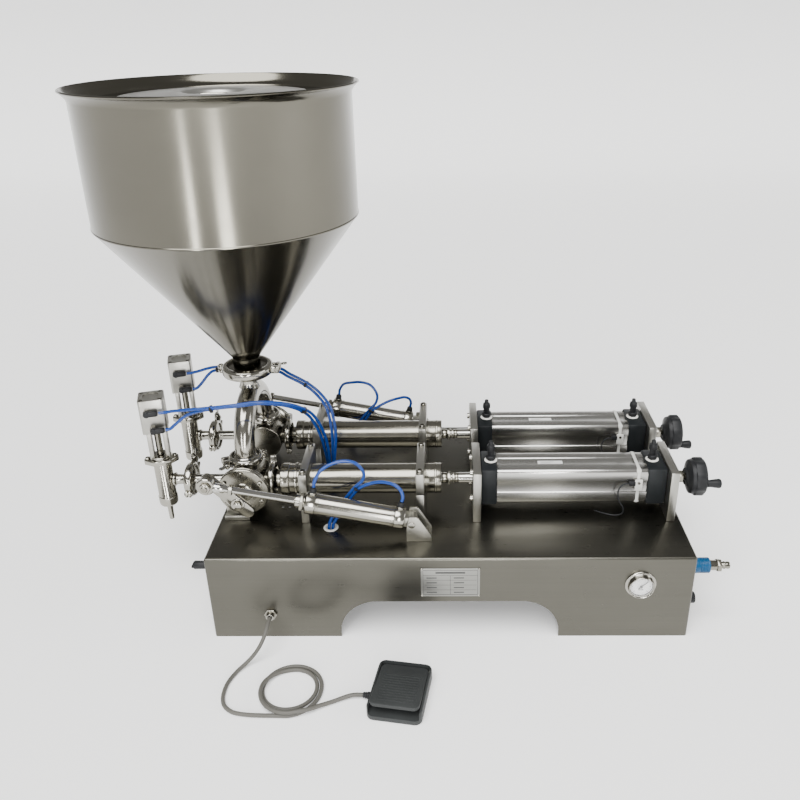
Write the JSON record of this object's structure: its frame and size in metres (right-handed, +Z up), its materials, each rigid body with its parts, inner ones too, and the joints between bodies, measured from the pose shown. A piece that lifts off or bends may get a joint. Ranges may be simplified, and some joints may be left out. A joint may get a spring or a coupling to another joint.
{
  "type": "piston liquid filler",
  "caption": "Pneumatic double-head piston filler: round hopper over an arched manifold, metering barrels driven by air cylinders, rotary valves, shut-off nozzles, table and foot pedal.",
  "frame": {"origin": "on the surface the table stands on, under the middle of the machine's bounding box (pedal and cord left out)", "axes": "+X along the cylinders, from the nozzles towards the handwheels; +Y from the front panel to the back; +Z up"},
  "size_m": [1.1255, 0.6994, 0.935],
  "materials": {
    "stainless_steel": "satin polished stainless steel",
    "cast_aluminium": "machined and anodised",
    "dark_cap": "semi-matt dark enamel",
    "black_plastic": "moulded, slightly glossy",
    "blue_hose": "smooth polyurethane",
    "grey_cord": "matt sheath",
    "pedal_plastic": "textured"
  },
  "bodies": {
    "root": {"front_meter_barrel": "stainless_steel", "front_barrel_clamp_left": "cast_aluminium", "front_barrel_clamp_right": "cast_aluminium", "front_end_plate_left": "cast_aluminium", "front_end_plate_right": "cast_aluminium", "front_cylinder_cap_left": "dark_cap", "front_cylinder_cap_right": "dark_cap", "front_cylinder_tube": "cast_aluminium", "front_valve_body": "stainless_steel", "front_valve_cylinder_bracket": "stainless_steel", "front_nozzle_body": "stainless_steel", "front_nozzle_cylinder": "cast_aluminium", "front_nozzle_hoses": "blue_hose", "front_valve_hoses": "blue_hose", "rear_meter_barrel": "stainless_steel", "rear_barrel_clamp_left": "cast_aluminium", "rear_barrel_clamp_right": "cast_aluminium", "rear_end_plate_left": "cast_aluminium", "rear_end_plate_right": "cast_aluminium", "rear_cylinder_cap_left": "dark_cap", "rear_cylinder_cap_right": "dark_cap", "rear_cylinder_tube": "cast_aluminium", "rear_valve_body": "stainless_steel", "rear_valve_cylinder_bracket": "stainless_steel", "rear_nozzle_body": "stainless_steel", "rear_nozzle_cylinder": "cast_aluminium", "rear_nozzle_hoses": "blue_hose", "rear_valve_hoses": "blue_hose", "base_housing": "stainless_steel", "valve_island": "cast_aluminium", "gauge_case": "stainless_steel", "cable_gland": "stainless_steel", "air_valve_body": "stainless_steel", "selector_bezel": "stainless_steel", "hopper": "stainless_steel", "hopper_clamp": "stainless_steel", "manifold": "stainless_steel", "pedal_base": "pedal_plastic", "cord_lead": "grey_cord", "cord_coil": "grey_cord", "cord_tail": "grey_cord"},
    "front_piston": {"front_drive_rod": "stainless_steel"},
    "front_valve_plug": {"front_valve_lever": "stainless_steel"},
    "front_valve_cylinder": {"front_valve_cylinder": "stainless_steel"},
    "front_valve_cylinder_rod": {"front_valve_cylinder_rod": "stainless_steel"},
    "front_nozzle_plunger": {"front_nozzle_plunger": "stainless_steel"},
    "front_stop_screw": {"front_stop_screw": "stainless_steel"},
    "front_handwheel": {"front_handwheel": "black_plastic"},
    "rear_piston": {"rear_drive_rod": "stainless_steel"},
    "rear_valve_plug": {"rear_valve_lever": "stainless_steel"},
    "rear_valve_cylinder": {"rear_valve_cylinder": "stainless_steel"},
    "rear_valve_cylinder_rod": {"rear_valve_cylinder_rod": "stainless_steel"},
    "rear_nozzle_plunger": {"rear_nozzle_plunger": "stainless_steel"},
    "rear_stop_screw": {"rear_stop_screw": "stainless_steel"},
    "rear_handwheel": {"rear_handwheel": "black_plastic"},
    "gauge_pointer": {"gauge_needle": "black_plastic"},
    "air_valve_sleeve": {"air_valve_sleeve": "blue_hose"},
    "selector_knob": {"selector_knob": "black_plastic"},
    "hopper_lid": {"hopper_lid": "stainless_steel"},
    "pedal_treadle": {"pedal_treadle": "pedal_plastic"}
  },
  "joints": [
    {"name": "front_piston_stroke", "type": "slide", "parent": "root", "child": "front_piston", "axis": [1, 0, 0], "range_m": [-0.15, 0]},
    {"name": "front_valve_turn", "type": "hinge", "parent": "root", "child": "front_valve_plug", "pos_m": [-0.32425, -0.072, 0.2335], "axis": [0, 1, 0], "range_deg": [0, 90]},
    {"name": "front_cylinder_swing", "type": "hinge", "parent": "root", "child": "front_valve_cylinder", "pos_m": [-0.01025, -0.1735, 0.2085], "axis": [0, 1, 0], "range_deg": [0, 4], "deforming": ["front_valve_hoses"]},
    {"name": "front_cylinder_stroke", "type": "slide", "parent": "front_valve_cylinder", "child": "front_valve_cylinder_rod", "axis": [-0.9802, 0, 0.1979], "range_m": [-0.0942, 0]},
    {"name": "front_nozzle_open", "type": "slide", "parent": "root", "child": "front_nozzle_plunger", "axis": [0, 0, 1], "range_m": [0, 0.016]},
    {"name": "front_stop_screw_feed", "type": "slide", "parent": "root", "child": "front_stop_screw", "axis": [1, 0, 0], "range_m": [-0.01, 0.005]},
    {"name": "front_handwheel_turn", "type": "hinge", "parent": "front_stop_screw", "child": "front_handwheel", "pos_m": [0.49945, -0.072, 0.2335], "axis": [1, 0, 0], "range_deg": [-1440, 720]},
    {"name": "rear_piston_stroke", "type": "slide", "parent": "root", "child": "rear_piston", "axis": [1, 0, 0], "range_m": [-0.15, 0]},
    {"name": "rear_valve_turn", "type": "hinge", "parent": "root", "child": "rear_valve_plug", "pos_m": [-0.32425, 0.102, 0.2335], "axis": [0, 1, 0], "range_deg": [0, 90]},
    {"name": "rear_cylinder_swing", "type": "hinge", "parent": "root", "child": "rear_valve_cylinder", "pos_m": [-0.01025, 0.2035, 0.2085], "axis": [0, 1, 0], "range_deg": [0, 4], "deforming": ["rear_valve_hoses"]},
    {"name": "rear_cylinder_stroke", "type": "slide", "parent": "rear_valve_cylinder", "child": "rear_valve_cylinder_rod", "axis": [-0.9802, 0, 0.1979], "range_m": [-0.0942, 0]},
    {"name": "rear_nozzle_open", "type": "slide", "parent": "root", "child": "rear_nozzle_plunger", "axis": [0, 0, 1], "range_m": [0, 0.016]},
    {"name": "rear_stop_screw_feed", "type": "slide", "parent": "root", "child": "rear_stop_screw", "axis": [1, 0, 0], "range_m": [-0.01, 0.005]},
    {"name": "rear_handwheel_turn", "type": "hinge", "parent": "rear_stop_screw", "child": "rear_handwheel", "pos_m": [0.49945, 0.102, 0.2335], "axis": [1, 0, 0], "range_deg": [-1440, 720]},
    {"name": "gauge_reading", "type": "hinge", "parent": "root", "child": "gauge_pointer", "pos_m": [0.39175, -0.241, 0.1166], "axis": [0, 1, 0], "range_deg": [-180, 90]},
    {"name": "air_valve_slide", "type": "slide", "parent": "root", "child": "air_valve_sleeve", "axis": [1, 0, 0], "range_m": [0, 0.012]},
    {"name": "selector_turn", "type": "hinge", "parent": "root", "child": "selector_knob", "pos_m": [-0.37425, -0.211, 0.139], "axis": [1, 0, 0], "range_deg": [0, 90]},
    {"name": "lid_lift", "type": "slide", "parent": "root", "child": "hopper_lid", "axis": [0, 0, 1], "range_m": [0, 0.1]},
    {"name": "pedal_press", "type": "hinge", "parent": "root", "child": "pedal_treadle", "pos_m": [-0.02037, -0.34054, 0.0165], "axis": [0.9877, -0.1564, 0], "range_deg": [0, 5], "stiffness_Nm_per_rad": 3, "springref_deg": -6.88}
  ],
  "couplings": [
    {"joint": "front_cylinder_swing", "follows": "front_valve_turn", "ratio": 0.043957},
    {"joint": "front_cylinder_stroke", "follows": "front_valve_turn", "m_per_rad": -0.059593},
    {"joint": "front_stop_screw_feed", "follows": "front_handwheel_turn", "m_per_rad": 0.00039789},
    {"joint": "rear_cylinder_swing", "follows": "rear_valve_turn", "ratio": 0.043957},
    {"joint": "rear_cylinder_stroke", "follows": "rear_valve_turn", "m_per_rad": -0.059593},
    {"joint": "rear_stop_screw_feed", "follows": "rear_handwheel_turn", "m_per_rad": 0.00039789}
  ]
}
